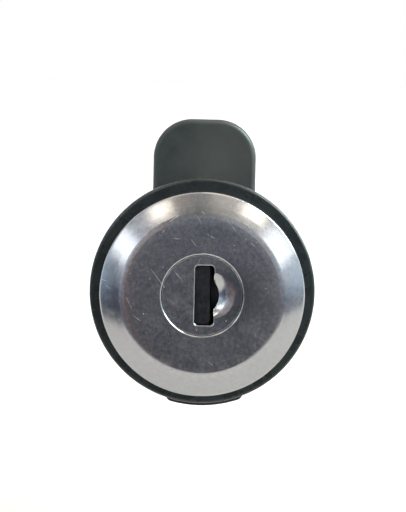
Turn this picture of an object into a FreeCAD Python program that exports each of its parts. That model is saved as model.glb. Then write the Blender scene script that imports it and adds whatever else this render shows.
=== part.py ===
# Cam lock: a wafer lock for a sheet-metal door, held in its double-D hole by a bowed horseshoe clip.
#
# The lock's axis is Y. The front of the lock faces -Y and the cam turns behind it, at +Y. The cam
# points up, along +Z, when the lock is locked. The origin is on the lock's axis, in the plane where
# the gasket meets the front of the door panel. Lengths are in millimetres.
import FreeCAD, Part
import math
import os
from FreeCAD import Vector

AXIS = Vector(0, 1, 0)
ORIGIN = Vector(0, 0, 0)
FAR = 60.0

# ---- driving dimensions -----------------------------------------------------------------------
# Gasket and flange
gasket_thickness = 0.8
gasket_radius = 15.0
gasket_edge_round = 0.2
gasket_gap = 0.08
flange_radius = 15.55
flange_thickness = 2.4
flange_edge_round = 0.35
flange_back_round = 0.3

# Face cap, pressed from stainless sheet and crimped behind the head
cap_radius = 14.0
cap_sheet = 0.5
cap_front = -8.0
cap_flat_radius = 9.65
cap_slope = 25.0
cap_bends = ((10.6, 2.5), (11.3, 18.0), (12.2, 21.0), (13.6, cap_slope))
cap_corner_round = 0.35
cap_hole_round = 0.22
cap_hole_radius = 5.56
cap_rim_end = -6.1
crimp_bend = 0.6
crimp_reach = 0.45
crimp_gap = 0.05
head_gap = 0.1
head_waist_gap = 0.25
head_front_inset = 0.5
head_shoulder_gap = 0.15

# Shank: a round bar with two flats, and slots across the flats for the clip
shank_radius = 9.5
shank_half_flat = 8.0
shank_end = 20.0
slot_floor = 7.2
slot_width = 3.4
slot_pitch = 5.4
slot_start = 1.0
slot_count = 3

# Bore and plug
bore_radius = 6.26
plug_radius = 6.2
collar_radius = 7.4
collar_thickness = 1.25
collar_back = -4.7
collar_gap = 0.1
nose_radius = 5.05
nose_front = -7.4
plug_end = shank_end + 0.05
keyway_past_wafers = 3.0
keyway_bore_half = 1.2
square_size = 7.5
square_corner_radius = 4.9
square_end = 23.8
square_hole = 7.6
tapped_radius = 2.5
tapped_floor = 15.8

# Plug cap, with the keyway and a thumb-shaped lead-in pressed beside it
plug_cap_radius = 5.5
plug_cap_sheet = 0.4
plug_cap_front = -7.8
plug_cap_skirt_end = -6.0
plug_cap_edge_round = 0.06
keyway_left = -1.0
keyway_right = 1.6
keyway_half_height = 4.07
keyway_corner_round = 0.45
keyway_edge_round = 0.18
lead_in_centre = 1.23
lead_in_radius = 3.17
lead_in_depth = 0.65
lead_in_overlap = 0.5
lead_in_mouth_half = 2.4
lead_in_mouth_bulge = 0.73
lead_in_break = 0.3
lead_in_roll = 2.6
lead_in_steps = 4
lead_in_backing = 0.3
lead_in_gap = 0.1

# Dust shutter, hinged on a pin beside the keyway
pocket_left = -2.75
pocket_right = 2.5
pocket_half_height = 4.25
pocket_floor = -3.0
hinge_x = -2.05
hinge_y = -6.6
pin_radius = 0.3
pin_half_length = 4.5
pin_end_round = 0.08
pin_end_gap = 0.05
pin_press_gap = 0.02
pin_hinge_gap = 0.03
knuckle_radius = 0.5
knuckle_inner = 1.75
shutter_half_height = 4.0
shutter_sheet = 0.35
shutter_free_edge = 1.05
shutter_corner_round = 0.5
shutter_spring_wire = 0.18
shutter_spring_radius = 0.5
shutter_spring_half = 1.4
shutter_spring_pitch = 0.35
shutter_spring_room = 0.3
shutter_spring_gap = 0.03
shutter_short_leg = 1.6

# Wafers and their springs
wafer_count = 7
wafer_first = -1.5
wafer_pitch = 2.0
wafer_thickness = 0.9
wafer_half_width = 3.5
wafer_radius = 6.12
wafer_window_half = 1.35
wafer_window_top = 4.15
wafer_window_round = 0.3
wafer_gap = 0.05
key_half_height = 4.0
key_cut_step = 0.35
key_cuts = (2, 4, 1, 3, 5, 2, 3)
wafer_travel = 0.9
ear_reach = 5.0
ear_bottom = -1.0
ear_top = 0.1
spring_x = 4.3
spring_floor = -3.3
spring_mean_radius = 0.53
spring_wire = 0.2
spring_turns = 5
spring_end_gap = 0.02
channel_half_width = 3.9
channel_reach = 7.4
channel_past_wafers = 0.9

# Stop washer, cam and its screw
stop_disc_radius = 6.6
stop_ear_radius = 7.9
stop_ear_half_angle = 19.0
stop_thickness = 1.5
lug_inner_radius = 6.8
lug_height = 1.45
lug_spare_angle = 1.0
turn_angle = 90.0
cam_width = 15.2
cam_length = 22.85
cam_thickness = 2.5
cam_corner = 5.7
cam_front_round = 0.7
cam_back_round = 0.5
flat_washer_radius = 6.0
flat_washer_thickness = 1.0
flat_washer_round = 0.2
lock_washer_radius = 4.6
lock_washer_thickness = 1.1
lock_washer_bevel = 0.12
lock_washer_split = 0.5
lock_washer_split_turn = 25.0
washer_hole_gap = 0.2
screw_radius = 2.42
screw_thread_depth = 0.3
screw_pitch = 0.8
screw_crest = (0.45, 0.55)
screw_plain_shank = 2.5
screw_under_head = 0.5
screw_tip = 16.4
screw_head_flats = 8.0
screw_head_height = 3.5
screw_head_bevel = 30.0
screw_head_flat_inset = 0.1

# Horseshoe clip
clip_sheet = 0.9
clip_slot_half = 7.35
clip_slot_round = 9.75
clip_outer_radius = 14.0
clip_leg_outer = 12.6
clip_leg_top = 10.2
clip_leg_round = 0.8
clip_tab_left = -4.8
clip_tab_right = 6.0
clip_tab_radius = 16.7
clip_tab_round = 0.9
clip_bow_radius = 78.0
clip_bow_centre_z = -2.4
clip_gap = 0.05

# ---- places that follow from them -------------------------------------------------------------
flange_back = -gasket_thickness
flange_front = flange_back - flange_thickness
cap_back_of_face = cap_front + cap_sheet
collar_front = collar_back - collar_thickness
stop_front = plug_end
cam_front = stop_front + stop_thickness
cam_back = cam_front + cam_thickness
flat_washer_back = cam_back + flat_washer_thickness
lock_washer_back = flat_washer_back + lock_washer_thickness
screw_head_back = lock_washer_back + screw_head_height
clip_back = slot_start + slot_width - clip_gap
wafer_places = [wafer_first + wafer_pitch * i for i in range(wafer_count)]


# ---- building blocks --------------------------------------------------------------------------
def disc(radius, front, back):
    """A cylinder about the lock's axis, from y = front to y = back."""
    return Part.makeCylinder(radius, back - front, Vector(0, front, 0), AXIS)


def box(x0, x1, y0, y1, z0, z1):
    return Part.makeBox(x1 - x0, y1 - y0, z1 - z0, Vector(x0, y0, z0))


def post(radius, x, y, z0, z1):
    """An upright cylinder, along Z."""
    return Part.makeCylinder(radius, z1 - z0, Vector(x, y, z0), Vector(0, 0, 1))


def line(a, b):
    return Part.LineSegment(a, b).toShape()


def arc(a, through, b):
    return Part.Arc(a, through, b).toShape()


def turned(edges):
    """The solid that a closed outline in the (radius, y) half-plane sweeps round the lock's axis."""
    loop = Part.Wire(Part.__sortEdges__(edges))
    return Part.Face(loop).revolve(ORIGIN, AXIS, 360)


def sector(radius, front, back, start, sweep):
    """A pie slice about the axis. Angles are in degrees, from +Z towards +X."""
    piece = Part.makeCylinder(radius, back - front, Vector(0, front, 0), AXIS, sweep)
    piece.rotate(ORIGIN, AXIS, start)
    return piece


def edges_at(shape, test):
    """The edges whose every vertex passes the test."""
    return [e for e in shape.Edges if all(test(v.Point) for v in e.Vertexes)]


def round_edges(shape, radius, test):
    return shape.makeFillet(radius, edges_at(shape, test))


def round_corners(shape, radius, test):
    """Rounds only the corners that run front to back, seen as points in a front view."""
    corners = [e for e in edges_at(shape, test) if runs_along_axis(e)]
    return shape.makeFillet(radius, corners)


def runs_along_axis(edge):
    first = edge.Vertexes[0].Point
    last = edge.Vertexes[-1].Point
    return near(first.x, last.x) and near(first.z, last.z) and not near(first.y, last.y)


def near(value, target, within=0.01):
    return abs(value - target) < within


def off_axis(point):
    return math.hypot(point.x, point.z)


def coil(mean_radius, wire, pitch, height, centre):
    """A helical spring along Z, whose wire runs from centre.z up to centre.z + height."""
    steps = round(12 * height / pitch)
    turn = 2 * math.pi * height / pitch / steps
    points = [
        Vector(mean_radius * math.cos(turn * i), mean_radius * math.sin(turn * i), height * i / steps)
        for i in range(steps + 1)
    ]
    path = Part.BSplineCurve()
    path.interpolate(points)
    tangent = path.tangent(path.FirstParameter)[0]
    section = Part.Wire(Part.makeCircle(wire / 2, points[0], tangent))
    spring = Part.Wire(path.toShape()).makePipeShell([section], True, True)
    spring.translate(centre)
    return spring


# ---- fixed pieces -----------------------------------------------------------------------------
def cap_bend_line(offset):
    """The cap's front line from its flat face to its sloping border, or the line offset mm behind it.

    Each bend runs to the radius and slope that cap_bends gives it. Returns the edges and the last point.
    """
    edges = []
    start = Vector(cap_flat_radius, cap_front + offset, 0)
    from_radius = cap_flat_radius
    slope = 0.0
    for to_radius, degrees in cap_bends:
        next_slope = math.radians(degrees)
        bend = (to_radius - from_radius) / (math.sin(next_slope) - math.sin(slope)) - offset
        middle = start + bend_step(bend, slope, (slope + next_slope) / 2)
        end = start + bend_step(bend, slope, next_slope)
        edges.append(arc(start, middle, end))
        start = end
        from_radius = to_radius
        slope = next_slope
    return edges, start


def bend_step(radius, slope, next_slope):
    """How far a bend of that radius moves as it turns from one slope to the next."""
    across = radius * (math.sin(next_slope) - math.sin(slope))
    back = radius * (math.cos(slope) - math.cos(next_slope))
    return Vector(across, back, 0)


def cap_outline():
    """The pressed sheet's outline: drawn rim, flat face, rounded break, sloping border, skirt, crimp."""
    slope = math.radians(cap_slope)
    hole = cap_hole_radius
    rim = hole + cap_sheet
    diagonal = math.sqrt(0.5)
    front_bends, slope_start = cap_bend_line(0)
    back_bends, back_slope_start = cap_bend_line(cap_sheet)

    edge_y = slope_start.y + (cap_radius - slope_start.x) * math.tan(slope)
    half_turn = (math.pi / 2 - slope) / 2
    tangent = cap_corner_round * math.tan(half_turn)
    corner_start = Vector(cap_radius - tangent * math.cos(slope), edge_y - tangent * math.sin(slope), 0)
    corner_mid = Vector(
        cap_radius - cap_corner_round + cap_corner_round * math.cos(half_turn),
        edge_y + tangent - cap_corner_round * math.sin(half_turn),
        0,
    )
    corner_end = Vector(cap_radius, edge_y + tangent, 0)
    skirt_inner = cap_radius - cap_sheet
    rise = (skirt_inner - back_slope_start.x) * math.tan(slope)
    back_edge = Vector(skirt_inner, back_slope_start.y + rise, 0)

    crimp_back = flange_front - crimp_gap
    bend_x = cap_radius - crimp_bend
    bend_y = crimp_back - crimp_bend
    small = crimp_bend - cap_sheet
    lip = bend_x - crimp_reach
    skirt_end = Vector(cap_radius, bend_y, 0)
    crimp_start = Vector(bend_x, crimp_back, 0)
    crimp_mid = Vector(bend_x + crimp_bend * diagonal, bend_y + crimp_bend * diagonal, 0)
    inner_crimp_start = Vector(bend_x, crimp_back - cap_sheet, 0)
    inner_crimp_mid = Vector(bend_x + small * diagonal, bend_y + small * diagonal, 0)
    inner_skirt_end = Vector(skirt_inner, bend_y, 0)
    lip_back = Vector(lip, crimp_back, 0)
    lip_front = Vector(lip, crimp_back - cap_sheet, 0)

    hole_round_start = Vector(hole, cap_front + cap_hole_round, 0)
    hole_round_end = Vector(hole + cap_hole_round, cap_front, 0)
    shrink = cap_hole_round * (1 - diagonal)
    hole_round_mid = Vector(hole + shrink, cap_front + shrink, 0)
    rim_end = Vector(hole, cap_rim_end, 0)
    rim_outer_end = Vector(rim, cap_rim_end, 0)
    rim_root = Vector(rim, cap_back_of_face, 0)
    return [
        line(rim_end, hole_round_start),
        arc(hole_round_start, hole_round_mid, hole_round_end),
        line(hole_round_end, Vector(cap_flat_radius, cap_front, 0)),
        *front_bends,
        line(slope_start, corner_start),
        arc(corner_start, corner_mid, corner_end),
        line(corner_end, skirt_end),
        arc(skirt_end, crimp_mid, crimp_start),
        line(crimp_start, lip_back),
        line(lip_back, lip_front),
        line(lip_front, inner_crimp_start),
        arc(inner_crimp_start, inner_crimp_mid, inner_skirt_end),
        line(inner_skirt_end, back_edge),
        line(back_edge, back_slope_start),
        *back_bends,
        line(Vector(cap_flat_radius, cap_back_of_face, 0), rim_root),
        line(rim_root, rim_outer_end),
        line(rim_outer_end, rim_end),
    ]


def face_cap():
    return turned(cap_outline())


def head_boss():
    """The solid under the face cap, a little smaller than the inside of the cap all round."""
    radius = cap_radius - cap_sheet - head_gap
    waist = radius - crimp_reach - head_waist_gap
    shoulder = flange_front - cap_sheet - head_shoulder_gap
    front = cap_back_of_face + head_gap
    slope_start = cap_bends[1][0] - head_front_inset
    rise = (radius - slope_start) * math.tan(math.radians(cap_slope))
    points = [
        Vector(0, flange_back, 0),
        Vector(waist, flange_back, 0),
        Vector(waist, shoulder, 0),
        Vector(radius, shoulder, 0),
        Vector(radius, front + rise, 0),
        Vector(slope_start, front, 0),
        Vector(0, front, 0),
    ]
    loop = points + points[:1]
    return turned([line(a, b) for a, b in zip(loop, loop[1:])])


def housing():
    flange = disc(flange_radius, flange_front, flange_back)
    flange = round_edges(flange, flange_edge_round, lambda p: near(p.y, flange_front))
    flange = round_edges(flange, flange_back_round, lambda p: near(p.y, flange_back))
    shank = disc(shank_radius, flange_back, shank_end)
    lugs = disc(shank_radius, shank_end, shank_end + lug_height).cut(disc(lug_inner_radius, shank_end, FAR))
    gap_start = 180 - stop_ear_half_angle - lug_spare_angle
    gap_sweep = turn_angle + 2 * (stop_ear_half_angle + lug_spare_angle)
    lugs = lugs.cut(sector(FAR / 2, shank_end, FAR, gap_start, gap_sweep))
    bar = shank.fuse(lugs)
    bar = bar.common(box(-shank_half_flat, shank_half_flat, flange_back, FAR, -FAR, FAR))
    for i in range(slot_count):
        start = slot_start + slot_pitch * i
        for side in (-1, 1):
            near_x, far_x = sorted((side * slot_floor, side * FAR))
            bar = bar.cut(box(near_x, far_x, start, start + slot_width, -FAR, FAR))
    body = flange.fuse([head_boss(), bar])
    body = body.cut(disc(collar_radius + collar_gap, -FAR / 2, collar_back + collar_gap))
    body = body.cut(disc(bore_radius, -FAR / 2, FAR))
    half = channel_half_width
    start = wafer_places[0] - channel_past_wafers
    end = wafer_places[-1] + channel_past_wafers
    channels = box(-half, half, start, end, -channel_reach, channel_reach)
    return body.cut(channels).removeSplitter()


def gasket():
    """A flat rubber ring between the flange and the panel. Its back face is the panel's plane."""
    ring = disc(gasket_radius, flange_back, 0).cut(disc(shank_radius + gasket_gap, -FAR / 2, FAR / 2))
    return round_edges(ring, gasket_edge_round, lambda p: near(off_axis(p), gasket_radius))


def clip_plan():
    """The clip seen from the front: a horseshoe open at the top, with a push tab below."""
    outer = clip_leg_outer
    inner = clip_slot_half
    arms = disc(clip_outer_radius, -FAR, FAR).common(box(-outer, outer, -FAR, FAR, -FAR, clip_leg_top))
    tab = disc(clip_tab_radius, -FAR, FAR)
    tab = tab.common(box(clip_tab_left, clip_tab_right, -FAR, FAR, -FAR, 0))
    tab = round_corners(tab, clip_tab_round, lambda p: p.z < -1)
    slot = disc(clip_slot_round, -FAR, FAR).common(box(-inner, inner, -FAR, FAR, -FAR, 0))
    slot = slot.fuse(box(-inner, inner, -FAR, FAR, 0, FAR))
    plan = arms.fuse(tab).cut(slot)
    return round_corners(plan, clip_leg_round, lambda p: near(p.z, clip_leg_top))


def mounting_clip():
    """Bowed about X, so that its middle bears on the slots' back walls and its ends on the panel."""
    centre = Vector(-FAR / 2, clip_back - clip_bow_radius, clip_bow_centre_z)
    outer = Part.makeCylinder(clip_bow_radius, FAR, centre, Vector(1, 0, 0))
    inner = Part.makeCylinder(clip_bow_radius - clip_sheet, FAR, centre, Vector(1, 0, 0))
    plate = outer.cut(inner).common(box(-FAR / 2, FAR / 2, 0, FAR, -FAR, FAR))
    return plate.common(clip_plan())


# ---- turning pieces ---------------------------------------------------------------------------
def segment(half_height, bulge, y):
    """A closed outline at depth y: an upright chord inside the keyway and an arc that bulges towards +X."""
    chord = keyway_right - lead_in_overlap
    low = Vector(chord, y, -half_height)
    high = Vector(chord, y, half_height)
    middle = Vector(chord + bulge, y, 0)
    return Part.Wire([arc(low, middle, high), line(high, low)])


def segment_block(half_height, bulge, depth):
    """A straight-walled block of that outline, from the plug cap's front inwards."""
    return Part.Face(segment(half_height, bulge, plug_cap_front)).extrude(Vector(0, depth, 0))


def lead_in_half_height():
    """Half the height of the lead-in's outline where its chord lies."""
    return math.sqrt(lead_in_radius**2 - (keyway_right - lead_in_overlap - lead_in_centre) ** 2)


def lead_in_bulge():
    """How far the lead-in's outline reaches past its chord."""
    return lead_in_centre + lead_in_radius - (keyway_right - lead_in_overlap)


def lead_in(grow, sink):
    """The thumb-shaped hollow beside the keyway, grown sideways and sunk. It rolls over from the face."""
    half = lead_in_half_height()
    bulge = lead_in_bulge()
    mouth_bulge = lead_in_overlap + lead_in_mouth_bulge
    sections = []
    for step in range(-1, lead_in_steps + 1):
        share = step / lead_in_steps
        fall = lead_in_break * share + (1 - lead_in_break) * max(share, 0) ** lead_in_roll
        y = plug_cap_front + sink + lead_in_depth * fall
        half_height = half + (lead_in_mouth_half - half) * share + grow
        sections.append(segment(half_height, bulge + (mouth_bulge - bulge) * share + grow, y))
    return Part.makeLoft(sections, True, False)


def lead_in_pocket():
    """Room in the plug for the back of the lead-in."""
    grow = plug_cap_sheet + lead_in_gap
    depth = lead_in_depth + lead_in_backing + lead_in_gap
    return segment_block(lead_in_half_height() + grow, lead_in_bulge() + grow, depth)


def plug_cap():
    front = plug_cap_front
    shell = disc(plug_cap_radius, front, plug_cap_skirt_end)
    shell = round_edges(shell, plug_cap_edge_round, lambda p: near(p.y, front))
    shell = shell.cut(disc(plug_cap_radius - plug_cap_sheet, front + plug_cap_sheet, FAR))
    keyway = box(keyway_left, keyway_right, front - 1, 0, -keyway_half_height, keyway_half_height)
    keyway = round_corners(keyway, keyway_corner_round, lambda p: True)
    shell = shell.cut(keyway)
    shell = round_edges(shell, keyway_edge_round, lambda p: near(p.y, front) and off_axis(p) < nose_radius)
    shell = shell.fuse(lead_in(plug_cap_sheet, lead_in_backing))
    shell = shell.cut(lead_in(0, 0))
    mouth = segment_block(lead_in_mouth_half, lead_in_overlap + lead_in_mouth_bulge, FAR)
    return shell.cut([mouth, keyway]).removeSplitter()


def plug():
    body = disc(plug_radius, collar_back, plug_end)
    body = body.fuse(disc(collar_radius, collar_front, collar_back))
    body = body.fuse(disc(nose_radius, nose_front, collar_front))
    half = square_size / 2
    square = box(-half, half, plug_end, square_end, -half, half)
    square = square.common(disc(square_corner_radius, plug_end, square_end))
    body = body.fuse(square)
    body = body.cut(
        box(pocket_left, pocket_right, -FAR, pocket_floor, -pocket_half_height, pocket_half_height)
    )
    keyway_end = wafer_places[-1] + keyway_past_wafers
    key_half = key_half_height + wafer_gap
    body = body.cut(box(-keyway_bore_half, keyway_bore_half, -FAR, keyway_end, -key_half, key_half))
    body = body.cut(lead_in_pocket())
    body = body.cut(post(pin_radius + pin_press_gap, hinge_x, hinge_y, -pin_half_length - pin_end_gap, FAR))
    body = body.cut(disc(tapped_radius, tapped_floor, FAR))
    half_slot = wafer_thickness / 2 + wafer_gap
    half_width = wafer_half_width + 2 * wafer_gap
    reach = ear_reach + 2 * wafer_gap
    ear_top_end = ear_top + wafer_travel + 2 * wafer_gap
    spring_well = spring_mean_radius + spring_wire / 2 + 2 * wafer_gap
    for y in wafer_places:
        body = body.cut(box(-half_width, half_width, y - half_slot, y + half_slot, -FAR, FAR))
        body = body.cut(box(0, reach, y - half_slot, y + half_slot, spring_floor, ear_top_end))
        body = body.cut(post(spring_well, spring_x, y, spring_floor, ear_top_end))
    return body.removeSplitter()


def wafer(y, cut):
    """A brass plate round the key. It rises wafer_travel out of the plug when no key holds it in."""
    half = wafer_thickness / 2
    plate = disc(wafer_radius, y - half, y + half)
    plate = plate.common(box(-wafer_half_width, wafer_half_width, -FAR, FAR, -FAR, FAR))
    plate = plate.fuse(box(0, ear_reach, y - half, y + half, ear_bottom, ear_top))
    low = -key_half_height + key_cut_step * cut
    window = box(-wafer_window_half, wafer_window_half, -FAR, FAR, low, wafer_window_top)
    window = round_corners(window, wafer_window_round, lambda p: True)
    return plate.cut(window).removeSplitter()


def wafer_spring(y):
    height = ear_bottom - spring_floor - spring_wire - 2 * spring_end_gap
    base = Vector(spring_x, y, spring_floor + spring_wire / 2 + spring_end_gap)
    return coil(spring_mean_radius, spring_wire, height / spring_turns, height, base)


def dust_shutter():
    """A flap with a knuckle at each end of its hinge, cut away between them for the spring."""
    front = hinge_y - knuckle_radius
    back = front + shutter_sheet
    flap = box(hinge_x, shutter_free_edge, front, back, -shutter_half_height, shutter_half_height)
    spring_gap = hinge_x + knuckle_radius + shutter_spring_room
    flap = flap.cut(box(-FAR, spring_gap, -FAR, FAR, -knuckle_inner, knuckle_inner))
    for low, high in ((-shutter_half_height, -knuckle_inner), (knuckle_inner, shutter_half_height)):
        flap = flap.fuse(post(knuckle_radius, hinge_x, hinge_y, low, high))
    flap = round_corners(flap, shutter_corner_round, lambda p: near(p.x, shutter_free_edge))
    return flap.cut(post(pin_radius + pin_hinge_gap, hinge_x, hinge_y, -FAR, FAR)).removeSplitter()


def shutter_pin():
    pin = post(pin_radius, hinge_x, hinge_y, -pin_half_length, pin_half_length)
    return pin.makeFillet(pin_end_round, [e for e in pin.Edges if e.Curve.TypeId == "Part::GeomCircle"])


def shutter_spring():
    """A torsion spring round the pin: one leg lies along the pocket's wall, the other on the flap."""
    radius = shutter_spring_radius
    half = shutter_spring_half
    leg_radius = shutter_spring_wire / 2
    base = Vector(hinge_x, hinge_y, -half)
    spring = coil(radius, shutter_spring_wire, shutter_spring_pitch, 2 * half, base)
    last_turn = 2 * math.pi * 2 * half / shutter_spring_pitch
    behind_flap = hinge_y - knuckle_radius + shutter_sheet + leg_radius + shutter_spring_gap
    foot = Vector(hinge_x + radius, hinge_y, -half)
    long_leg = Vector(shutter_free_edge - shutter_corner_round, behind_flap, -half)
    head = Vector(hinge_x + radius * math.cos(last_turn), hinge_y, half)
    short_leg = Vector(head.x, pocket_floor - shutter_short_leg, half)
    for a, b in ((foot, long_leg), (head, short_leg)):
        leg = Part.makeCylinder(leg_radius, (b - a).Length, a, b - a)
        spring = spring.fuse([leg, Part.makeSphere(leg_radius, a), Part.makeSphere(leg_radius, b)])
    return spring


def square_cut(shape, front, back):
    half = square_hole / 2
    return shape.cut(box(-half, half, front - 1, back + 1, -half, half))


def stop_washer():
    """Turns with the plug. Its ear meets the housing's lugs at both ends of the quarter turn."""
    back = stop_front + stop_thickness
    ear = sector(stop_ear_radius, stop_front, back, 180 - stop_ear_half_angle, 2 * stop_ear_half_angle)
    washer = disc(stop_disc_radius, stop_front, back).fuse(ear)
    return square_cut(washer, stop_front, back).removeSplitter()


def cam():
    half = cam_width / 2
    blade = box(-half, half, cam_front, cam_back, 0, cam_length)
    blade = round_corners(blade, cam_corner, lambda p: near(p.z, cam_length))
    blade = blade.fuse(disc(half, cam_front, cam_back)).removeSplitter()
    blade = round_edges(blade, cam_front_round, lambda p: near(p.y, cam_front))
    blade = round_edges(blade, cam_back_round, lambda p: near(p.y, cam_back))
    return square_cut(blade, cam_front, cam_back)


def flat_washer():
    ring = disc(flat_washer_radius, cam_back, flat_washer_back)
    ring = round_edges(ring, flat_washer_round, lambda p: near(p.y, flat_washer_back))
    return ring.cut(disc(screw_radius + washer_hole_gap, 0, FAR))


def lock_washer():
    """A split spring washer, pressed nearly flat by the screw."""
    front = flat_washer_back
    back = lock_washer_back
    ring = disc(lock_washer_radius, front, back).cut(disc(screw_radius + washer_hole_gap, 0, FAR))
    rim = edges_at(ring, lambda p: near(off_axis(p), lock_washer_radius))
    ring = ring.makeChamfer(lock_washer_bevel, rim)
    half = lock_washer_split / 2
    split = box(-half, half, front - 1, back + 1, 0, FAR)
    split.rotate(Vector(0, (front + back) / 2, 0), Vector(0, 0, 1), lock_washer_split_turn)
    return ring.cut(split)


def hexagon(flats, y):
    """A hexagonal face with a corner at the top, that far across its flats."""
    radius = flats / math.cos(math.radians(30)) / 2
    turns = [math.radians(60 * i) for i in range(7)]
    return Part.Face(Part.makePolygon([Vector(radius * math.sin(a), y, radius * math.cos(a)) for a in turns]))


def cam_screw():
    """A hexagon-head screw. Its thread is cut as rings, one pitch apart."""
    head = hexagon(screw_head_flats, lock_washer_back).extrude(Vector(0, screw_head_height, 0))
    flat_end = screw_head_flats / 2 - screw_head_flat_inset
    widening = screw_head_height / math.tan(math.radians(screw_head_bevel))
    bevel = Part.makeCone(
        flat_end + widening, flat_end, screw_head_height, Vector(0, lock_washer_back, 0), AXIS
    )
    head = head.common(bevel)
    root = screw_radius - screw_thread_depth
    thread_end = lock_washer_back - screw_plain_shank
    under_head = lock_washer_back + screw_under_head
    outline = [Vector(0, screw_tip, 0), Vector(root, screw_tip, 0)]
    for i in range(int((thread_end - screw_tip) / screw_pitch)):
        y = screw_tip + screw_pitch * i
        for share in screw_crest:
            outline.append(Vector(screw_radius, y + screw_pitch * share, 0))
        outline.append(Vector(root, y + screw_pitch, 0))
    outline.append(Vector(screw_radius, outline[-1].y + screw_thread_depth, 0))
    outline.append(Vector(screw_radius, under_head, 0))
    outline.append(Vector(0, under_head, 0))
    loop = outline + outline[:1]
    shank = turned([line(a, b) for a, b in zip(loop, loop[1:])])
    return head.fuse(shank).removeSplitter()


# ---- export -----------------------------------------------------------------------------------
def main():
    os.makedirs("parts", exist_ok=True)
    pieces = {
        "housing": housing(),
        "face_cap": face_cap(),
        "panel_gasket": gasket(),
        "mounting_clip": mounting_clip(),
        "plug": plug(),
        "plug_cap": plug_cap(),
        "dust_shutter": dust_shutter(),
        "shutter_pin": shutter_pin(),
        "shutter_spring": shutter_spring(),
        "stop_washer": stop_washer(),
        "cam": cam(),
        "flat_washer": flat_washer(),
        "lock_washer": lock_washer(),
        "cam_screw": cam_screw(),
    }
    for number, (y, cut) in enumerate(zip(wafer_places, key_cuts), 1):
        pieces[f"wafer_{number}"] = wafer(y, cut)
        pieces[f"wafer_spring_{number}"] = wafer_spring(y)
    for name, shape in pieces.items():
        solids = shape.Solids
        print(f"{name:18s} solids {len(solids)} valid {shape.isValid()} volume {shape.Volume:9.3f}")
        shape.exportStep(f"parts/{name}.step")


main()
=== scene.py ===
import math

import bpy
from mathutils import Matrix, Vector


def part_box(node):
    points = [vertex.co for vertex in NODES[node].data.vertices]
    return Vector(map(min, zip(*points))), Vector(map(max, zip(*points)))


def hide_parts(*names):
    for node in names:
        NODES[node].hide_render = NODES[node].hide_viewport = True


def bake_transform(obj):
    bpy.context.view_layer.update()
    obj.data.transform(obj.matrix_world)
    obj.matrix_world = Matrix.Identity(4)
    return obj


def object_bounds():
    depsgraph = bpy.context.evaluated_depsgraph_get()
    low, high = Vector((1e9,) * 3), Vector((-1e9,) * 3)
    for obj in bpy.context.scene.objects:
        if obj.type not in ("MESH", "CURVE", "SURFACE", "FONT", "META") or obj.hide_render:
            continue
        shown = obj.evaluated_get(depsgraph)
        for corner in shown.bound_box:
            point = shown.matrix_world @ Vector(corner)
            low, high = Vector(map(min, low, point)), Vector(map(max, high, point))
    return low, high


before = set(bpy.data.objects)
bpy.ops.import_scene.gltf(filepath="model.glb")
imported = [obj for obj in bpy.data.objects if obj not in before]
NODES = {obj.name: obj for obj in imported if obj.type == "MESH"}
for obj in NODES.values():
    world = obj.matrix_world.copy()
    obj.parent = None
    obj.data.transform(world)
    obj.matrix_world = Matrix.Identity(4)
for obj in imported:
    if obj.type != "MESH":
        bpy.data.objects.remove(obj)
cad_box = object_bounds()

MM = 0.001
SCENE = bpy.context.scene

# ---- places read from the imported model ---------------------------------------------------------
cap_low, cap_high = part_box("face_cap")
CAP_FRONT = cap_low.y
CAP_RADIUS = cap_high.x
LOWEST = cad_box[0].z
FACE_CENTRE = Vector((0, CAP_FRONT, 0))
FRONT = Vector((0, -1, 0))
UP = Vector((0, 0, 1))
RIGHT = Vector((1, 0, 0))


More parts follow.
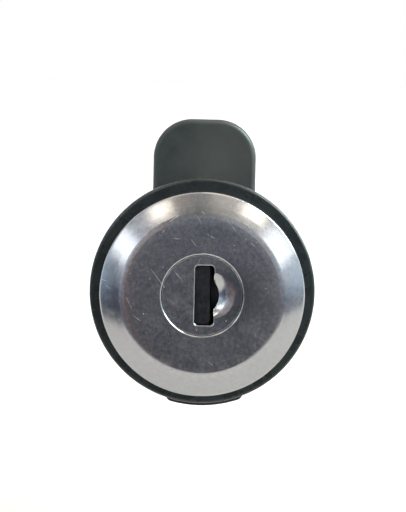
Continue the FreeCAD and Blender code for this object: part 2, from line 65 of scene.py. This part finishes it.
# ---- wiring materials --------------------------------------------------------------------------
class Shader:
    """A Principled material. Its textures are laid out in millimetres of the row frame."""

    def __init__(self, name, **sockets):
        self.material = bpy.data.materials.new(name)
        self.material.use_nodes = True
        self.tree = self.material.node_tree
        self.bsdf = self.tree.nodes["Principled BSDF"]
        place = self.tree.nodes.new("ShaderNodeTexCoord").outputs["Object"]
        self.place = self.scaled(place, 1 / MM)
        self.set(**sockets)

    def node(self, kind, inputs=None, **settings):
        made = self.tree.nodes.new("ShaderNode" + kind)
        for key, value in settings.items():
            setattr(made, key, value)
        for key, value in (inputs or {}).items():
            self.feed(made.inputs[key], value)
        return made

    def feed(self, socket, value):
        if isinstance(value, bpy.types.NodeSocket):
            self.tree.links.new(value, socket)
        elif hasattr(value, "__len__") and len(value) == 3 and socket.type == "RGBA":
            socket.default_value = (*value, 1)
        else:
            socket.default_value = value

    def set(self, **sockets):
        for key, value in sockets.items():
            self.feed(self.bsdf.inputs[key.replace("_", " ")], value)

    def math(self, operation, a, b=0.0, clamp=False):
        made = self.node("Math", {0: a, 1: b}, operation=operation, use_clamp=clamp)
        return made.outputs[0]

    def scaled(self, vector, by):
        made = self.node("VectorMath", {0: vector}, operation="SCALE")
        made.inputs["Scale"].default_value = by
        return made.outputs[0]

    def stretched(self, sizes, turn=(0, 0, 0), vector=None):
        """Coordinates in which one unit is sizes mm long along each axis, turned by degrees."""
        made = self.node("Mapping", {"Vector": vector or self.place}, vector_type="TEXTURE")
        made.inputs["Scale"].default_value = sizes
        made.inputs["Rotation"].default_value = [math.radians(a) for a in turn]
        return made.outputs[0]

    def noise(self, size, detail=3, rough=0.5, vector=None, seed=0.0):
        """Noise with features about size mm across, from 0 to 1."""
        inputs = {"Vector": vector or self.place, "Scale": 1 / size}
        inputs.update({"Detail": detail, "Roughness": rough})
        made = self.node("TexNoise", inputs, noise_dimensions="4D")
        made.inputs["W"].default_value = seed
        return made.outputs["Fac"]

    def spread(self, value, low, high, to_low=0.0, to_high=1.0):
        """value carried over from low to high onto to_low to to_high, and held at the ends."""
        inputs = {"Value": value, "From Min": low, "From Max": high}
        inputs.update({"To Min": to_low, "To Max": to_high})
        return self.node("MapRange", inputs, clamp=True).outputs["Result"]

    def blend(self, share, a, b):
        made = self.node("Mix", {"Factor": share}, data_type="RGBA")
        self.feed(made.inputs[6], a)
        self.feed(made.inputs[7], b)
        return made.outputs[2]

    def bump(self, height, depth, before=None):
        """Raises the surface by height (0 to 1) times depth in mm."""
        inputs = {"Height": height, "Distance": depth * MM, "Strength": 1.0}
        if before is not None:
            inputs["Normal"] = before
        return self.node("Bump", inputs).outputs["Normal"]

    def specks(self, cell, radius, share, seed=0.0):
        """1 inside small dots, one in a share of the cells, each cell about cell mm across."""
        inputs = {"Vector": self.place, "Scale": 1 / cell, "W": seed}
        made = self.node("TexVoronoi", inputs, voronoi_dimensions="4D")
        near = self.spread(made.outputs["Distance"], radius / cell * 0.6, radius / cell, 1, 0)
        chosen = self.node("SeparateColor", {"Color": made.outputs["Color"]}).outputs["Red"]
        return self.math("MULTIPLY", near, self.math("LESS_THAN", chosen, share))

    def scratches(self, angle, length=14.0, width=0.05, share=0.5, seed=0.0):
        """Long thin marks across the X-Z plane at that angle from X, in degrees."""
        along = self.stretched((length, 4.0, width), turn=(0, angle, 0))
        marks = self.noise(1.0, detail=1, vector=along, seed=seed)
        patches = self.noise(5.0, detail=1, seed=seed + 3.7)
        sharp = self.spread(marks, 0.72, 0.8)
        return self.math("MULTIPLY", sharp, self.spread(patches, share, share + 0.08))

    def flattened(self):
        """The place with its depth left out, so that a pattern on the front runs straight back."""
        return self.node("VectorMath", {0: self.place, 1: (1, 0, 1)}, operation="MULTIPLY").outputs[0]

    def mark(self, start, end, width):
        """1 along one scratch from start to end, (x, z) points in mm on the front of the lock."""
        flat = self.flattened()
        first = Vector((start[0], 0, start[1]))
        along = Vector((end[0], 0, end[1])) - first
        offset = self.node("VectorMath", {0: flat, 1: first}, operation="SUBTRACT").outputs[0]
        per_length = along / along.length_squared
        reach = self.node("VectorMath", {0: offset, 1: per_length}, operation="DOT_PRODUCT")
        share = self.math("ADD", reach.outputs["Value"], 0.0, clamp=True)
        nearest = self.node("VectorMath", {0: along, "Scale": share}, operation="SCALE").outputs[0]
        away = self.node("VectorMath", {0: offset, 1: nearest}, operation="DISTANCE").outputs["Value"]
        broken = self.spread(self.noise(0.5, detail=3), 0.35, 0.6, 0.35, 1.0)
        return self.math("MULTIPLY", self.spread(away, width / 4, width / 2, 1, 0), broken)

    def round_patch(self, centre, inner, outer):
        """1 within inner mm of an (x, z) point, fading to 0 at outer mm."""
        ends = {0: self.flattened(), 1: (centre[0], 0, centre[1])}
        away = self.node("VectorMath", ends, operation="DISTANCE").outputs["Value"]
        return self.spread(away, inner, outer, 1, 0)

    def recess(self, reach):
        """1 deep in a recess that is narrower than reach mm, 0 on open faces."""
        open_share = self.node("AmbientOcclusion", samples=8, only_local=False)
        open_share.inputs["Distance"].default_value = reach * MM
        return self.spread(open_share.outputs["AO"], 0.75, 0.25)

    def edge_share(self, radius):
        """1 on corners sharper than radius mm, 0 on flats."""
        rounded = self.node("Bevel", samples=6)
        rounded.inputs["Radius"].default_value = radius * MM
        flat = self.node("NewGeometry").outputs["Normal"]
        both = self.node("VectorMath", {0: rounded.outputs["Normal"], 1: flat}, operation="DOT_PRODUCT")
        return self.spread(both.outputs["Value"], 0.995, 0.93)

    def soft_edges(self, radius):
        """A normal that rounds every corner by radius mm."""
        rounded = self.node("Bevel", samples=6)
        rounded.inputs["Radius"].default_value = radius * MM
        return rounded.outputs["Normal"]


def joined(shader, *shares):
    """The highest of several shares."""
    result = shares[0]
    for share in shares[1:]:
        result = shader.math("MAXIMUM", result, share)
    return result


# The longest scratches on the face, as (x, z) ends in mm.
FACE_MARKS = (
    ((-6.9, 3.4), (-5.1, 1.0)),
    ((-10.3, -0.4), (-9.5, -1.9)),
    ((-1.6, 7.6), (-0.9, 6.7)),
    ((0.6, 8.4), (1.5, 7.9)),
    ((-3.9, 3.3), (-2.6, 1.9)),
    ((-0.7, 10.7), (-0.3, 9.8)),
    ((-4.6, 10.0), (-3.5, 10.8)),
    ((3.3, 10.3), (4.4, 8.9)),
    ((-0.2, 11.4), (0.1, 11.2)),
)


# ---- materials ---------------------------------------------------------------------------------
def stainless(name, seed):
    """Polished stainless sheet: orange peel, a haze of wiping marks, specks, handling scratches,
    painted highlights on its edges and a painted dark reflection beside the keyway.
    """
    s = Shader(name, Metallic=1.0)
    smudge = s.noise(1.5, detail=6, rough=0.7, seed=seed)
    wiped_along = s.stretched((5.0, 5.0, 1.3), (0, 35, 0))
    wipes = s.noise(1.0, detail=4, rough=0.6, vector=wiped_along, seed=seed + 1)
    grain = s.noise(0.5, detail=5, rough=0.72, seed=seed + 9)
    pits = s.noise(0.28, detail=2, seed=seed + 13)
    specks = joined(
        s,
        s.specks(0.8, 0.065, 0.3, seed),
        s.specks(1.9, 0.12, 0.25, seed + 5),
        s.specks(0.45, 0.04, 0.25, seed + 11),
    )
    lines = joined(
        s,
        s.scratches(38, length=3, share=0.53, seed=seed),
        s.scratches(-63, length=2.4, width=0.06, share=0.54, seed=seed + 2),
        s.scratches(12, length=3, width=0.05, share=0.57, seed=seed + 4),
        s.scratches(81, length=3.5, width=0.045, share=0.58, seed=seed + 6),
        *[s.mark(*ends, 0.13) for ends in FACE_MARKS],
    )
    # A clean, less hazy patch beside the keyway whose base colour is darkened as a painted dark
    # reflection, the lead-in rubbed by keys, and the flat inside the border.
    clean_patch_and_dark_reflection = s.round_patch((4.2, 0.3), 1.8, 5.0)
    rubbed = s.round_patch((2.0, 0), 2.4, 2.9)
    face = s.round_patch((0, 0), 10.6, 11.6)
    smudged = s.spread(smudge, 0.34, 0.68, 0.2, 0.7)
    haze = s.math("ADD", smudged, s.spread(wipes, 0.4, 0.68, 0, 0.3), clamp=True)
    haze = s.math("MULTIPLY", haze, s.spread(clean_patch_and_dark_reflection, 0, 1, 1, 0.1))
    haze = s.math("MAXIMUM", haze, s.math("MULTIPLY", rubbed, 0.5))
    mottle = s.math("MULTIPLY", s.spread(grain, 0.34, 0.66), s.spread(face, 0, 1, 0.4, 1))
    tone = s.blend(mottle, (0.385, 0.383, 0.393), (0.535, 0.528, 0.535))
    pitted = s.math("MULTIPLY", s.spread(pits, 0.3, 0.42, 0.5, 0), face)
    tone = s.blend(pitted, tone, (0.3, 0.29, 0.285))
    # Painted highlight: every sharp edge is painted near-white, standing in for the bright line that a
    # rounded edge mirrors.
    tone = s.blend(s.math("MULTIPLY", s.edge_share(0.16), 0.9), tone, (0.95, 0.95, 0.94))
    # Painted dark reflection: beside the keyway, outside the rubbed lead-in, the steel's base colour is
    # darkened.
    painted_dark_reflection = s.math("MULTIPLY", clean_patch_and_dark_reflection, s.spread(rubbed, 0, 1, 0.45, 0))
    tone = s.blend(painted_dark_reflection, tone, (0.25, 0.238, 0.235))
    tone = s.blend(s.math("MULTIPLY", specks, 0.55), tone, (0.8, 0.8, 0.79))
    tone = s.blend(s.math("MULTIPLY", lines, 0.3), tone, (0.72, 0.72, 0.71))
    rough = s.spread(haze, 0, 1, 0.1, 0.225)
    rough = s.math("ADD", rough, s.spread(grain, 0.4, 0.75, 0, 0.05))
    rough = s.math("ADD", rough, s.math("MULTIPLY", lines, 0.15))
    rough = s.math("ADD", rough, s.math("MULTIPLY", specks, 0.25), clamp=True)
    shape = s.bump(s.noise(3.4, detail=2, seed=seed + 7), 0.009)
    shape = s.bump(s.math("MULTIPLY", grain, s.spread(face, 0, 1, 0.25, 1)), 0.004, shape)
    shape = s.bump(lines, -0.005, shape)
    shape = s.bump(specks, 0.014, shape)
    s.set(Base_Color=tone, Roughness=rough, Normal=shape)
    return s.material


def black_lacquer():
    """Semi-gloss black lacquer over a die casting, with a haze, dust and rubbed corners."""
    s = Shader("black_lacquer", Coat_Weight=0.35, Coat_Roughness=0.14, Specular_IOR_Level=0.35)
    dust = s.specks(1.3, 0.06, 0.15, 1.0)
    haze = s.noise(3.0, detail=5, rough=0.6, seed=2)
    rubbing = s.spread(s.noise(0.8, detail=3, seed=3), 0.56, 0.7)
    edges = s.math("MULTIPLY", s.edge_share(0.12), rubbing)
    tone = s.blend(s.spread(haze, 0.3, 0.75), (0.011, 0.015, 0.0155), (0.022, 0.03, 0.03))
    tone = s.blend(s.math("MULTIPLY", dust, 0.35), tone, (0.2, 0.2, 0.19))
    tone = s.blend(s.math("MULTIPLY", edges, 0.6), tone, (0.16, 0.165, 0.165))
    shape = s.soft_edges(0.12)
    shape = s.bump(s.noise(1.5, detail=2, seed=4), 0.006, shape)
    shape = s.bump(s.noise(0.35, detail=2, seed=5), 0.001, shape)
    s.set(Base_Color=tone, Roughness=s.spread(haze, 0.3, 0.75, 0.2, 0.38), Normal=shape)
    return s.material


def cam_coat():
    """Satin black coat on a stamped steel blade, grey where it has rubbed at the corners, and lighter
    in the middle as a painted sheen.
    """
    s = Shader("cam_coat", Coat_Weight=0.15, Coat_Roughness=0.3)
    mottle = s.noise(1.6, detail=6, rough=0.65, seed=11)
    broad = s.noise(9.0, detail=2, seed=12)
    rubbing = s.spread(s.noise(2.2, detail=4, seed=13), 0.5, 0.62)
    rub = s.math("MULTIPLY", s.edge_share(0.5), rubbing)
    lines = joined(
        s,
        s.scratches(70, seed=14, share=0.52),
        s.scratches(-20, length=8, seed=15, share=0.55),
    )
    tone = s.blend(s.spread(mottle, 0.3, 0.7), (0.024, 0.032, 0.03), (0.038, 0.048, 0.045))
    tone = s.blend(s.spread(broad, 0.4, 0.62, 0, 0.3), tone, (0.07, 0.078, 0.074))
    # Painted sheen: a broad lighter patch in the middle of the blade stands in for a soft reflection.
    painted_middle_sheen = s.math("MULTIPLY", s.round_patch((2.0, 16.5), 1.0, 7.5), 0.75)
    tone = s.blend(painted_middle_sheen, tone, (0.085, 0.09, 0.085))
    tone = s.blend(s.math("MULTIPLY", rub, 0.55), tone, (0.2, 0.23, 0.22))
    tone = s.blend(s.math("MULTIPLY", lines, 0.25), tone, (0.14, 0.15, 0.15))
    rough = s.spread(mottle, 0.3, 0.7, 0.36, 0.52)
    shape = s.bump(s.noise(0.45, detail=3, seed=16), 0.005)
    shape = s.bump(lines, -0.004, shape)
    s.set(Base_Color=tone, Roughness=rough, Normal=shape)
    return s.material


def bare_metal(name, light, dark, rough, seed, grain=0.5, depth=0.004, streak=None, painted_recess_shade=0.3):
    """Uncoated or plated metal with a grain, stains, painted shade in its recesses and lines along
    streak.
    """
    s = Shader(name, Metallic=1.0)
    stain = s.noise(2.2, detail=5, rough=0.62, seed=seed)
    fine = s.noise(grain, detail=3, seed=seed + 1)
    tone = s.blend(s.spread(stain, 0.35, 0.68), light, dark)
    # Painted shade: the base colour turns near-black deep in recesses, by as much as
    # painted_recess_shade.
    tone = s.blend(s.math("MULTIPLY", s.recess(5.0), painted_recess_shade), tone, (0.012, 0.011, 0.01))
    coarse = s.spread(fine, 0.3, 0.7, rough * 0.8, rough * 1.25)
    shape = s.soft_edges(0.06)
    shape = s.bump(fine, depth, shape)
    if streak:
        lines = s.noise(1.0, detail=2, vector=s.stretched(streak), seed=seed + 2)
        shape = s.bump(lines, depth, shape)
        coarse = s.math("ADD", coarse, s.spread(lines, 0.4, 0.7, -0.05, 0.08), clamp=True)
    s.set(Base_Color=tone, Roughness=coarse, Normal=shape)
    return s.material


def spring_steel():
    """Black-oxide sheet with a film of oil and brighter sheared edges."""
    s = Shader("spring_steel", Metallic=0.35, Coat_Weight=0.25, Coat_Roughness=0.25)
    film = s.noise(2.4, detail=5, rough=0.6, seed=31)
    rubbing = s.spread(s.noise(0.9, detail=3, seed=32), 0.45, 0.65)
    edges = s.math("MULTIPLY", s.edge_share(0.1), rubbing)
    tone = s.blend(s.spread(film, 0.35, 0.7), (0.012, 0.0145, 0.0145), (0.03, 0.033, 0.034))
    tone = s.blend(s.math("MULTIPLY", edges, 0.5), tone, (0.2, 0.2, 0.21))
    shape = s.bump(s.noise(0.6, detail=3, seed=33), 0.004, s.soft_edges(0.1))
    s.set(Base_Color=tone, Roughness=s.spread(film, 0.35, 0.7, 0.3, 0.46), Normal=shape)
    return s.material


def rubber():
    """Matt black rubber with a bloom."""
    s = Shader("gasket_rubber")
    bloom = s.noise(1.8, detail=5, rough=0.65, seed=41)
    tone = s.blend(s.spread(bloom, 0.4, 0.75), (0.014, 0.014, 0.015), (0.035, 0.035, 0.036))
    shape = s.bump(s.noise(0.25, detail=3, seed=42), 0.01, s.soft_edges(0.1))
    s.set(Base_Color=tone, Roughness=s.spread(bloom, 0.4, 0.75, 0.7, 0.86), Normal=shape)
    return s.material


def pale_floor():
    """Matt, warm off-white table top, faintly uneven."""
    s = Shader("pale_floor", Roughness=0.9)
    tone = s.blend(s.noise(60.0, detail=4, seed=51), (0.79, 0.768, 0.742), (0.83, 0.81, 0.784))
    s.set(Base_Color=tone, Normal=s.bump(s.noise(2.0, detail=3, seed=52), 0.05))
    return s.material


def coat(node, material):
    """Gives a CAD node that material and no other."""
    slots = NODES[node].data.materials
    slots.clear()
    slots.append(material)


def paint_nodes():
    """Gives every CAD node its material."""
    wire = bare_metal(
        "steel_wire", (0.58, 0.58, 0.6), (0.45, 0.45, 0.47), 0.24, 61, grain=0.15, depth=0.002
    )
    brass = bare_metal(
        "brass", (0.78, 0.58, 0.27), (0.62, 0.44, 0.2), 0.3, 64, grain=0.3, streak=(6.0, 0.12, 0.12)
    )
    plate = bare_metal("zinc_plate", (0.52, 0.54, 0.58), (0.42, 0.43, 0.445), 0.3, 67, grain=0.35)
    zinc = bare_metal(
        "die_cast_zinc",
        (0.44, 0.44, 0.455),
        (0.33, 0.33, 0.335),
        0.42,
        70,
        grain=0.3,
        depth=0.01,
        painted_recess_shade=1.0,
    )
    # Dust shutter: dark steel, toned darker still as painted shade for the shade that falls inside the
    # keyway.
    dark = bare_metal(
        "blued_sheet_painted_shade",
        (0.062, 0.066, 0.076),
        (0.03, 0.031, 0.035),
        0.34,
        73,
        streak=(0.1, 0.1, 7.0),
        painted_recess_shade=0.5,
    )
    given = {
        "housing": black_lacquer(),
        "face_cap": stainless("stainless_face", 1.5),
        "plug_cap": stainless("stainless_plug", 4.5),
        "panel_gasket": rubber(),
        "mounting_clip": spring_steel(),
        "plug": zinc,
        "dust_shutter": dark,
        "shutter_pin": wire,
        "shutter_spring": wire,
        "stop_washer": plate,
        "cam": cam_coat(),
        "flat_washer": plate,
        "lock_washer": plate,
        "cam_screw": plate,
    }
    for node in NODES:
        if node.startswith("wafer_spring"):
            given[node] = wire
        elif node.startswith("wafer"):
            given[node] = brass
    for node, material in given.items():
        coat(node, material)


def flexing(node):
    """Shows a copy of a spring's mesh where it stands, and hides the CAD node."""
    spring = bpy.data.objects.new(node + "_flexing", NODES[node].data.copy())
    SCENE.collection.objects.link(spring)
    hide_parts(node)
    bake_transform(spring)


def flex_springs():
    """Puts a copy in place of each spring's mesh, the shutter's spring and each wafer's spring alike.

    The open shutter still cuts into that spring's upper leg, which stays with the plug.
    """
    for node in sorted(NODES):
        if "spring" not in node:
            continue
        if node == "shutter_spring":
            flexing(node)
        else:
            flexing(node)


# ---- camera ------------------------------------------------------------------------------------
# The eye is placed round EYE_TARGET, and AIM is where it looks.
EYE_DISTANCE = 0.3
EYE_AZIMUTH = math.radians(-0.1)
EYE_ELEVATION = math.radians(6.5)
EYE_TARGET = Vector((0, CAP_FRONT + 1.5 * MM, 0))
AIM = EYE_TARGET + Vector((0.01 * MM, 0, 5.28 * MM))
ROLL = math.radians(1.25)
LENS = 154.7
SENSOR_WIDTH = 36
NEAREST = 0.01
FARTHEST = 20


def eye_direction():
    """From EYE_TARGET to the camera."""
    across = math.cos(EYE_ELEVATION)
    return Vector(
        (math.sin(EYE_AZIMUTH) * across, -math.cos(EYE_AZIMUTH) * across, math.sin(EYE_ELEVATION))
    )


def facing(place, aim, roll=0.0):
    """A matrix at place whose -Z looks at aim, rolled anticlockwise. aim is never straight below."""
    forward = (aim - place).normalized()
    right = forward.cross(UP).normalized()
    up = right.cross(forward)
    turned_right = right * math.cos(roll) + up * math.sin(roll)
    turned_up = up * math.cos(roll) - right * math.sin(roll)
    turn = Matrix((turned_right, turned_up, -forward)).transposed()
    return Matrix.Translation(place) @ turn.to_4x4()


def make_camera():
    """The camera, a little above the lock and far enough off for a long lens."""
    data = bpy.data.cameras.new("camera")
    data.lens = LENS
    data.sensor_width = SENSOR_WIDTH
    data.clip_start = NEAREST
    data.clip_end = FARTHEST
    camera = bpy.data.objects.new("camera", data)
    SCENE.collection.objects.link(camera)
    camera.matrix_world = facing(EYE_TARGET + eye_direction() * EYE_DISTANCE, AIM, ROLL)
    SCENE.camera = camera


# ---- lights ------------------------------------------------------------------------------------
WARM = (1.0, 0.93, 0.79)
COOL = (0.955, 0.99, 1.0)
WHITE = (1.0, 0.98, 0.95)
GREENISH = (0.78, 1.0, 0.95)
PALE_GREEN = (0.93, 1.0, 0.98)
BROWN = (1.0, 0.5, 0.38)
DAYLIGHT = (1.0, 0.985, 0.96)

# Where on the cap's radius its sloping border is taken, and how far off its softboxes stand.
BORDER_AT = 0.9
BORDER_LIGHT_DISTANCE = 0.6

# Softboxes seen in the border: clock angle, slope of the border, size, radiance and colour.
BORDER_LIGHTS = {
    "warm_left": (-27.5, 22.3, (0.115, 0.135), 2.9, WARM),
    "warm_right": (31.5, 23.5, (0.135, 0.12), 3.0, WARM),
    "cool_left": (-57, 25.0, (0.12, 0.38), 2.7, COOL),
    "cool_right": (56, 20.0, (0.17, 0.22), 2.4, COOL),
}
# Softboxes that also light what is round the lock: place, size, radiance and colour.
ROOM_LIGHTS = {
    "overhead": ((0, 0.05, 0.9), (0.7, 0.7), 0.55, WHITE),
    "back_left": ((-0.46, 0.52, 0.29), (0.35, 0.5), 1.6, COOL),
    "back_right": ((0.52, 0.41, 0.2), (0.25, 0.5), 1.3, WARM),
    "brown_card": ((-0.125, -0.6, 0), (0.11, 0.3), 0.2, BROWN),
}
RIM_PLACE = Vector((0.5, -0.1, 0.42))
KEY_PLACE = Vector((0.56, -0.36, 0.58))
BACK_FLOOR_PLACE = Vector((0, 2.14, 0.25))
BACK_FLOOR_AIM = Vector((0, 2.15, 0))
DAYLIGHT_PLACE = Vector((0, 0.25, 0.5))


def mirrored(clock, slope):
    """A point on the cap's border and the way that the camera's view bounces off it.

    The clock angle is in degrees clockwise from the top, seen from the front. The border leans out
    by slope degrees.
    """
    turn = math.radians(clock)
    lean = math.radians(slope)
    outward = RIGHT * math.sin(turn) + UP * math.cos(turn)
    point = FACE_CENTRE + outward * CAP_RADIUS * BORDER_AT
    normal = FRONT * math.cos(lean) + outward * math.sin(lean)
    eye = (EYE_TARGET + eye_direction() * EYE_DISTANCE - point).normalized()
    return point, 2 * normal.dot(eye) * normal - eye


def soft_light(name, place, aim, size, radiance, colour, roll=0.0):
    """A rectangular softbox. radiance is how bright it looks where white is 1."""
    data = bpy.data.lights.new(name, "AREA")
    data.shape = "RECTANGLE"
    data.size, data.size_y = size
    data.energy = radiance * math.pi * size[0] * size[1]
    data.color = colour
    light = bpy.data.objects.new(name, data)
    SCENE.collection.objects.link(light)
    light.matrix_world = facing(place, aim, roll)
    light.visible_camera = False
    return light


def border_light(name, clock, slope, size, radiance, colour):
    """A softbox seen in the cap's border at that clock angle. size is across and along the radius."""
    point, bounce = mirrored(clock, slope)
    place = point + bounce * BORDER_LIGHT_DISTANCE
    return soft_light(name, place, point, size, radiance, colour, -math.radians(clock))


def make_lights():
    """Softboxes that are only mirrored in the lock, softboxes that also light it, and daylight."""
    mirrored_only = [border_light(name, *given) for name, given in BORDER_LIGHTS.items()]
    rim = soft_light("rim_right", RIM_PLACE, FACE_CENTRE, (0.34, 0.45), 16.0, GREENISH)
    for light in (*mirrored_only, rim):
        light.visible_diffuse = False
    for name, (place, *given) in ROOM_LIGHTS.items():
        soft_light(name, Vector(place), FACE_CENTRE, *given)
    key = soft_light("key", KEY_PLACE, FACE_CENTRE, (0.4, 0.4), 7.0, PALE_GREEN)
    key.visible_glossy = False
    back_floor = soft_light("back_floor", BACK_FLOOR_PLACE, BACK_FLOOR_AIM, (6.0, 4.0), 0.7, WHITE)
    back_floor.visible_glossy = False
    back_floor.data.spread = math.radians(40)
    make_daylight()


def make_daylight():
    """A weak, wide sun from above and behind, which isn't mirrored in the metal."""
    data = bpy.data.lights.new("daylight", "SUN")
    data.energy = 0.15
    data.angle = math.radians(50)
    data.color = DAYLIGHT
    light = bpy.data.objects.new("daylight", data)
    SCENE.collection.objects.link(light)
    light.matrix_world = facing(FACE_CENTRE + DAYLIGHT_PLACE, FACE_CENTRE)
    light.visible_glossy = False


# ---- surroundings ------------------------------------------------------------------------------
# The dim room that the metal mirrors: a place from -1 to 1, low to high or left to right, and the
# colour there. The two ramps multiply.
ROOM_BY_HEIGHT = (
    (-1.0, (0.082, 0.086, 0.106)),
    (-0.225, (0.082, 0.088, 0.108)),
    (-0.13, (0.09, 0.098, 0.12)),
    (-0.085, (0.125, 0.145, 0.18)),
    (0.01, (0.28, 0.32, 0.37)),
    (0.5, (0.25, 0.26, 0.265)),
    (0.64, (0.42, 0.42, 0.41)),
    (1.0, (0.6, 0.59, 0.57)),
)
ROOM_BY_SIDE = (
    (-1.0, (3.0, 3.3, 3.5)),
    (-0.84, (2.6, 3.0, 3.2)),
    (-0.74, (1.5, 1.6, 1.75)),
    (-0.64, (0.75, 0.78, 0.83)),
    (-0.56, (2.4, 2.6, 2.8)),
    (-0.45, (2.8, 2.7, 2.8)),
    (-0.33, (1.9, 1.7, 1.55)),
    (-0.18, (1.2, 1.12, 1.04)),
    (-0.06, (1.0, 1.0, 1.0)),
    (0.03, (1.0, 1.0, 1.0)),
    (0.1, (2.3, 2.1, 1.9)),
    (0.59, (2.3, 2.35, 2.35)),
    (0.7, (3.2, 3.4, 3.5)),
    (1.0, (3.0, 3.5, 3.5)),
)
# A ramp holds nothing brighter than 1, so each is kept divided by this.
ROOM_GAIN = 4.0

# The table top, below the lock. Its front edge is bent and lies between these (x, y) points.
FLOOR_DROP = 28 * MM
FLOOR_FRONT = ((-2.5, 0.2), (-0.1, -0.09), (0.15, -0.14), (2.5, -0.3))
FLOOR_BACK = ((2.5, 4.0), (-2.5, 4.0))


def make_world():
    """Surroundings that are plain white to the camera and a dim room to everything else."""
    world = bpy.data.worlds.new("room")
    SCENE.world = world
    world.use_nodes = True
    tree = world.node_tree
    tree.nodes.clear()

    def node(kind, **settings):
        made = tree.nodes.new("ShaderNode" + kind)
        for key, value in settings.items():
            setattr(made, key, value)
        return made

    def ramp(value, stops):
        shifted = node("MapRange")
        shifted.inputs["From Min"].default_value = -1
        tree.links.new(value, shifted.inputs["Value"])
        made = node("ValToRGB")
        elements = made.color_ramp.elements
        while len(elements) < len(stops):
            elements.new(0.5)
        for element, (place, colour) in zip(elements, stops):
            element.position = (place + 1) / 2
            element.color = (*[c / ROOM_GAIN for c in colour], 1)
        tree.links.new(shifted.outputs[0], made.inputs[0])
        return made.outputs["Color"]

    place = node("TexCoord")
    parts = node("SeparateXYZ")
    tree.links.new(place.outputs["Generated"], parts.inputs[0])
    room = node("Mix", data_type="RGBA", blend_type="MULTIPLY")
    room.inputs[0].default_value = 1
    tree.links.new(ramp(parts.outputs["Z"], ROOM_BY_HEIGHT), room.inputs[6])
    tree.links.new(ramp(parts.outputs["X"], ROOM_BY_SIDE), room.inputs[7])
    seen = node("LightPath")
    dim = node("Background")
    dim.inputs["Strength"].default_value = ROOM_GAIN**2
    tree.links.new(room.outputs[2], dim.inputs["Color"])
    white = node("Background")
    white.inputs["Color"].default_value = (1, 1, 1, 1)
    both = node("MixShader")
    tree.links.new(seen.outputs["Is Camera Ray"], both.inputs[0])
    tree.links.new(dim.outputs[0], both.inputs[1])
    tree.links.new(white.outputs[0], both.inputs[2])
    out = node("OutputWorld")
    tree.links.new(both.outputs[0], out.inputs["Surface"])


def make_floor():
    """A pale table top that ends a little way in front of the lock and runs far back."""
    corners = [(x, y, LOWEST - FLOOR_DROP) for x, y in (*FLOOR_FRONT, *FLOOR_BACK)]
    mesh = bpy.data.meshes.new("floor")
    mesh.from_pydata(corners, [], [range(len(corners))])
    floor = bpy.data.objects.new("floor", mesh)
    SCENE.collection.objects.link(floor)
    mesh.materials.append(pale_floor())


paint_nodes()
flex_springs()
make_world()
make_floor()
make_lights()
make_camera()
SCENE.view_settings.view_transform = "Standard"
